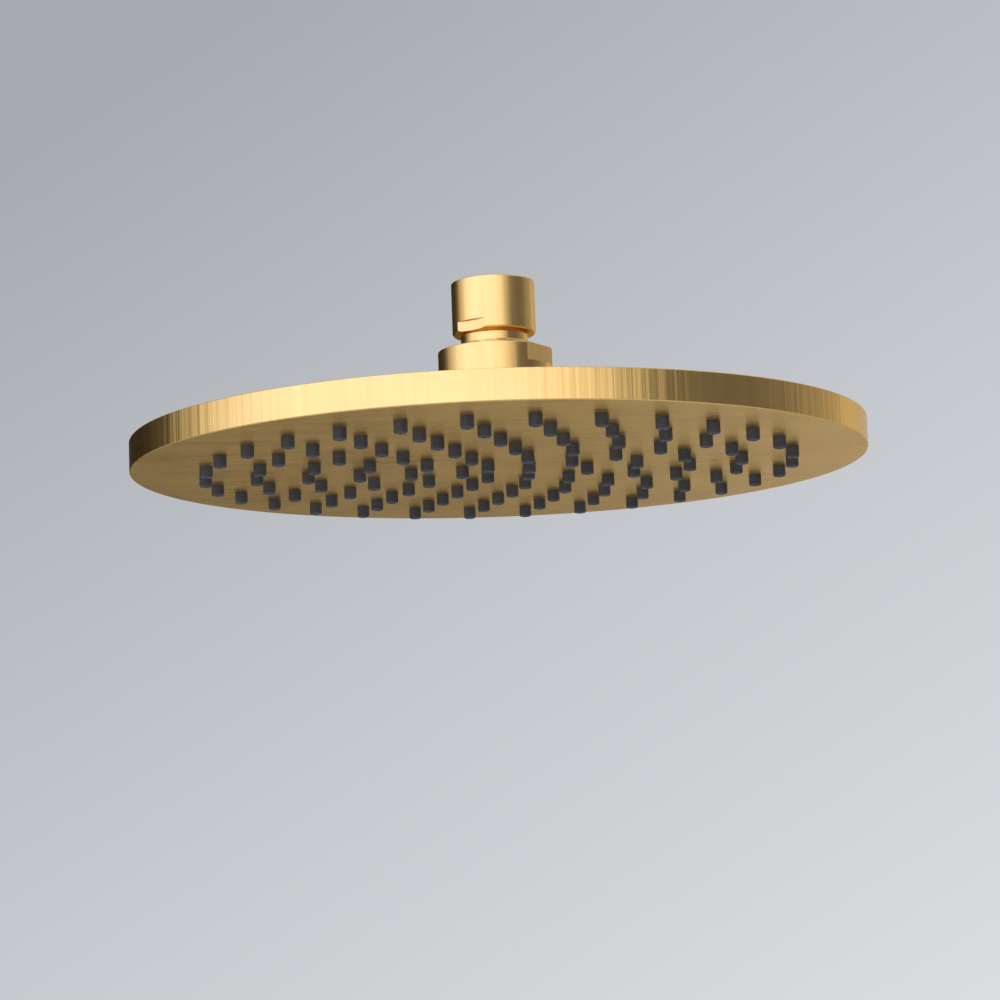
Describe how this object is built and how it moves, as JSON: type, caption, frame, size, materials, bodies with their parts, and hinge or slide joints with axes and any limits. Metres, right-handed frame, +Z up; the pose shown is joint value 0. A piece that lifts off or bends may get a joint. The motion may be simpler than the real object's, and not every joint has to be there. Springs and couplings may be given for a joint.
{
  "type": "round overhead shower head",
  "caption": "Thin round overhead shower head in brushed brass, with rings of short rubber nozzles, on a tilting ball joint with a threaded inlet nut.",
  "frame": {"origin": "centre of the inlet socket's mouth, on the top face of the inlet nut", "axes": "+Z up along the inlet thread, the way the shower arm leaves; the spray face looks down -Z; -Y towards the camera in the picture"},
  "size_m": [0.2, 0.2, 0.0541],
  "materials": {
    "brushed_brass": "brushed, clear lacquered",
    "black_rubber": "moulded",
    "grey_silicone": "satin moulded",
    "stainless_screen": "plain rolled",
    "white_acetal": "moulded"
  },
  "bodies": {
    "inlet": {"inlet_ball": "brushed_brass", "inlet_washer": "black_rubber", "filter_screen": "stainless_screen", "flow_regulator": "white_acetal", "control_ring": "black_rubber"},
    "seat_ring": {"ball_seat_ring": "white_acetal"},
    "seal": {"ball_seal": "black_rubber"},
    "head": {"collar_nut": "brushed_brass", "inlet_spigot": "brushed_brass", "back_plate": "brushed_brass", "spacer_spider": "white_acetal", "nozzle_mat": "grey_silicone", "face_pan": "brushed_brass"}
  },
  "joints": [
    {"name": "tilt_sideways", "type": "hinge", "parent": "inlet", "child": "seat_ring", "pos_m": [0, 0, -0.02682], "axis": [0, 1, 0], "range_deg": [-10, 10]},
    {"name": "tilt_forward", "type": "hinge", "parent": "seat_ring", "child": "seal", "pos_m": [0, 0, -0.02682], "axis": [1, 0, 0], "range_deg": [-10, 10]},
    {"name": "head_turn", "type": "hinge", "parent": "seal", "child": "head", "pos_m": [0, 0, -0.02682], "axis": [0, 0, 1], "continuous": true}
  ]
}
